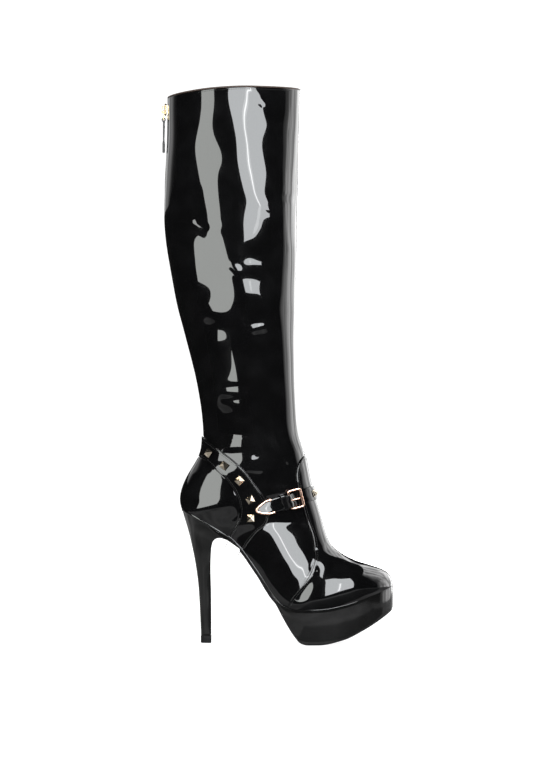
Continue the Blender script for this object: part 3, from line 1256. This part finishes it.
# Top lift: rings of the stem's foot, each at a height and grown by a little.
liftRows = ((0.0, -0.2), (0.3, 0.35), (0.8, 0.5), (7.0, 0.5), (7.7, 0.4), (8.0, 0.0))
liftCut = 0.83
liftLong = heelRows[0, 3] * footLength
rings = np.stack([
    heelRing(z, heelSet["tipPlace"], heelSet["tipWidth"] / 2, liftLong, 0, liftCut, grown)
    for z, grown in liftRows
])
ringPiece("top_lift_rubber", capEnds(rings), rubber, ["top_lift"])
print("stage: heel")

# Zip: two tapes inside the slot's edges and two rows of teeth that meet on the back's centre line.
zipSet = dict(tapeHalf=7.0, tapeDepth=1.5, tapeEdge=0.25, foot=206.0, rows=260, across=14,
              pitch=1.7, tooth=(3.4, 0.62, 0.9), toothDepth=0.55, toothSide=0.95)
zipTop = float(collarRow(np.array([0.0]))[0]) + 0.02
zipFoot = float(bisect(lambda r: column(1, r) - zipSet["foot"], 0, seatRow - 1))
zipRows = np.linspace(zipTop, zipFoot, zipSet["rows"])
tapeShare = np.linspace(0, 1, zipSet["across"])
tapeLift = zipSet["tapeEdge"] * (1 - np.minimum(tapeShare * 6, 1)) - zipSet["tapeDepth"]
for name, sign in (("zip_tape_outer", 1), ("zip_tape_inner", -1)):
    wide = slotAngle(zipRows, zipSet["tapeHalf"])[:, None]
    angle = sign * wide * np.linspace(0.02, 1, zipSet["across"])
    row = zipRows[:, None] + 0 * angle
    points, outward = overPoint(row, angle, np.broadcast_to(tapeLift, angle.shape))
    gridPiece(name, points, outward, tapeCloth, ["zip"])
dense, normal = overPoint(np.linspace(zipTop, zipFoot, 1500), 0.001, -zipSet["toothDepth"])
keep = dense[:, 2] > platformHeight + overHeight * 0.998
dense, normal = dense[keep], normal[keep]
length = arcLength(dense)
at = np.arange(1, length[-1], zipSet["pitch"] / 2)
spot = readAt(at, length, dense)
up = unit(readAt(at, length, normal))
up[:, 1] = 0
sideways = np.cross(up, tangents(spot))
sign = np.where(np.arange(len(at)) % 2 == 0, 1.0, -1.0)[:, None]
axes = np.stack([sideways, np.cross(up, sideways), up], 1)
spot = spot + sideways * sign * zipSet["toothSide"]
scatter("zip_teeth", *pillShape(*zipSet["tooth"]), spot, axes, tapeCloth, "zip_tape")

# Looks of the CAD's own nodes; those of metal and the zip's tab get fine bevels.
nodeLooks = {"zip_slider": zipGold, "zip_pull_ring": zipGold, "zip_pull_tab": tabLeather,
             "insole": insoleLeather}
edgeSet = dict(width=0.00028, segments=2, degrees=35)
for name, node in cadNodes.items():
    node.data.materials.clear()
    node.data.materials.append(paleGold if name.startswith("stud") else nodeLooks.get(name, patent))
    if name.startswith(("stud", "zip_")):
        bevel = node.modifiers.new("edge", "BEVEL")
        bevel.width = edgeSet["width"]
        bevel.segments = edgeSet["segments"]
        bevel.limit_method = "ANGLE"
        bevel.angle_limit = math.radians(edgeSet["degrees"])
print("stage: zip and metal")


# Side-view line moved to one side by a distance.
def insideOf(dense, distance):
    run = unit(np.gradient(dense, axis=0))
    return dense + distance * np.stack([-run[:, 1], run[:, 0]], -1)


# Stitches: along both edges of the harness, beside the vamp's edge and under the collar.
stitchIn = 2.2
bandStitches = [insideOf(outerDense[4:-6], -stitchIn), insideOf(innerDense[4:-6], stitchIn)]
stitchRow("harness_stitches", bandStitches, over + 0.05)
stitchRow("vamp_stitches", [insideOf(vampLine[4:-14], stitchIn)], over + 0.02)
rimX = np.linspace(20, 117, 120)
rimLine = np.stack([rimX, collarHeight(rimX) - 2.6], -1)
stitchRow("collar_stitches", [rimLine], 0.1, 1.9, 1.3, 0.36)


# Cord: a thin round bar along a line over the form, with closed ends.
def cord(name, path, outward, halfAcross, halfOut, material):
    across = unit(np.cross(outward, tangents(path)))
    ringPiece(name, capEnds(sweep(path, across, outward, halfAcross, halfOut, 12)), material)


piping = dict(halfAcross=0.55, halfOut=0.62, sunk=0.35, above=1.2, spacing=0.8)
for label, side in (("outer", -1), ("inner", 1)):
    for name, line in (("band_piping_", outerDense[3:-7]), ("vamp_piping_", vampLine[3:-12])):
        clear = line[:, 1] > edgeHeight(line[:, 0]) + piping["above"]
        line = resample(line[clear], piping["spacing"])
        path, outward = overSide(line[:, 0], line[:, 1], side, over - piping["sunk"])
        cord(name + label, path, outward, piping["halfAcross"], piping["halfOut"], patent)

# Binding: a folded strip over the collar's rim, open at the zip.
bindingSet = dict(halfAcross=1.0, proud=0.3, zipHalf=7.5, steps=260)
rimStart = float(slotAngle(np.array([0.4]), bindingSet["zipHalf"])[0])
rimAngle = np.linspace(rimStart, 2 * np.pi - rimStart, bindingSet["steps"])
path, outward = overPoint(collarRow(rimAngle), rimAngle, -last["wall"] / 2)
bindingOut = last["wall"] / 2 + bindingSet["proud"]
cord("collar_binding", path, outward, bindingSet["halfAcross"], bindingOut, binding)
print("stage: stitches")

# Stage: a pale floor and backdrop, a camera level with the middle of the boot, and soft boxes.
stage = dict(floor=9.0, nearFloor=0.8, wallFoot=-0.1, wallTop=5,
             picture=769, pixel=0.00105, sensor=24)


# A plane of the stage, in grey: seen by the camera, or else in gloss alone.
def stagePlane(name, corners, grey=0.0, strength=0.0, seen=False):
    mesh = bpy.data.meshes.new(name)
    mesh.from_pydata(corners, [], [(0, 1, 2, 3)])
    piece = bpy.data.objects.new(name, mesh)
    bpy.context.collection.objects.link(piece)
    m = Material(name, Base_Color=(grey, grey, grey, 1), Roughness=0.9,
                 Emission_Color=(1, 1, 1, 1), Emission_Strength=strength)
    mesh.materials.append(m.data)
    piece.visible_camera = piece.visible_diffuse = piece.visible_shadow = seen
    piece.visible_glossy = not seen
    return m


def level(half, z):
    return [(-half, -half, z), (half, -half, z), (half, half, z), (-half, half, z)]


def upright(first, last, low, high):
    return [(*first, low), (*last, low), (*last, high), (*first, high)]


# The floor and the backdrop fill the picture and don't show in gloss.
half = stage["floor"] / 2
stagePlane("floor", level(half, -0.0003), 0.3, 0.9, True)
corners = [(-half, half), (half, half), (half, -half), (-half, -half)]
for i in range(4):
    wall = upright(corners[i], corners[(i + 1) % 4], stage["wallFoot"], stage["wallTop"])
    stagePlane("backdrop" + str(i), wall, 0.1, 1.0, True)


# Panel seen in gloss alone: its light rises over its first part and varies softly like a studio
# wall.
def glowPanel(name, corners, start, end, power, cloudSize=0.35):
    m = stagePlane(name, corners)
    across = m.node("ShaderNodeSeparateXYZ", 1, None, Vector=m.node("ShaderNodeTexCoord", "Object"))
    cloud = m.noise(cloudSize, 2.0, (1, 1, 0.45)).ramp(0.3, 0.7)
    m.shader.inputs["Emission Strength"].default_value = power
    m.drive("Emission Color", across.ramp(start, end) * (0.3 + 0.7 * cloud))


glowPanel("right_glow", upright((1.5, -0.4), (0.7, 1.6), -0.1, 1.8), -0.5, 0.2, 5.0, 0.2)
glowPanel("left_glow", upright((-1.2, 0.1), (-0.6, 1.6), 0.52, 1.8), 0.1, 0.7, 1.3)
# A black card in front keeps the strip out of the sole's gloss, and one on the floor keeps the
# near floor out of it.
stagePlane("black_card", upright((-1.0, -0.55), (0.05, -1.05), -0.01, 0.155))
cardEdge = [(0.0, -0.33), (0.6, -0.33), (0.6, -0.062), (0.0, -0.062)]
stagePlane("floor_card", [(x, y, 0.0001) for x, y in cardEdge])
glowPanel("floor_gloss", level(stage["nearFloor"], -0.0001), -3.0, -2.0, 0.55, 0.16)

cameraData = bpy.data.cameras.new("camera")
camera = bpy.data.objects.new("camera", cameraData)
bpy.context.collection.objects.link(camera)
camera.location = (studio["aimX"], -studio["distance"], studio["aimZ"])
camera.rotation_euler = (math.pi / 2, 0, 0)
cameraData.sensor_fit = "VERTICAL"
cameraData.sensor_height = stage["sensor"]
cameraData.lens = stage["sensor"] * studio["distance"] / (stage["picture"] * stage["pixel"])
cameraData.clip_end = 50
bpy.context.scene.camera = camera


# A soft box on the circle round the boot, aimed at a height of its middle axis: its angle, distance
# and height, its width and height, its power, colour and roll in degrees.
def softBox(name, angle, distance, height, aim, size, power, colour=(1, 1, 1), roll=0):
    light = bpy.data.lights.new(name, "AREA")
    light.shape = "RECTANGLE"
    light.size, light.size_y = size
    light.energy = power
    light.color = colour
    lamp = bpy.data.objects.new(name, light)
    bpy.context.collection.objects.link(lamp)
    x, y = around(angle, distance)
    lamp.location = (x, y, height)
    tilt = math.atan2(math.hypot(x, y), height - aim)
    lamp.rotation_euler = (tilt, 0, math.atan2(y, x) + math.pi / 2)
    lamp.rotation_euler.rotate_axis("Z", math.radians(roll))
    lamp.visible_camera = False


angle, distance, width = studio["left"]
softBox("left strip", angle, distance, 0.975, 0.975, (width, 2.05), 44, (0.97, 1.0, 0.97))
angle, distance, width = studio["front"]
softBox("front box", angle, distance, 1.27, 0.9, (width, 1.88), 90, (0.95, 0.98, 1.0), 6)
softBox("front core", 16, 2.16, 0.95, 0.9, (0.16, 1.1), 1.6, roll=6)
softBox("front tube", 16, 2.14, 0.95, 0.9, (0.05, 0.95), 1.6, roll=6)
softBox("back box", 176, 2.4, 0.95, 0.5, (0.7, 1.5), 24)
world = bpy.data.worlds.new("room")
world.use_nodes = True
room = world.node_tree.nodes["Background"].inputs
room["Color"].default_value = (1, 1, 1, 1)
room["Strength"].default_value = 0.015
bpy.context.scene.world = world
bpy.context.scene.view_settings.view_transform = "Standard"
print("stage: lights and camera")
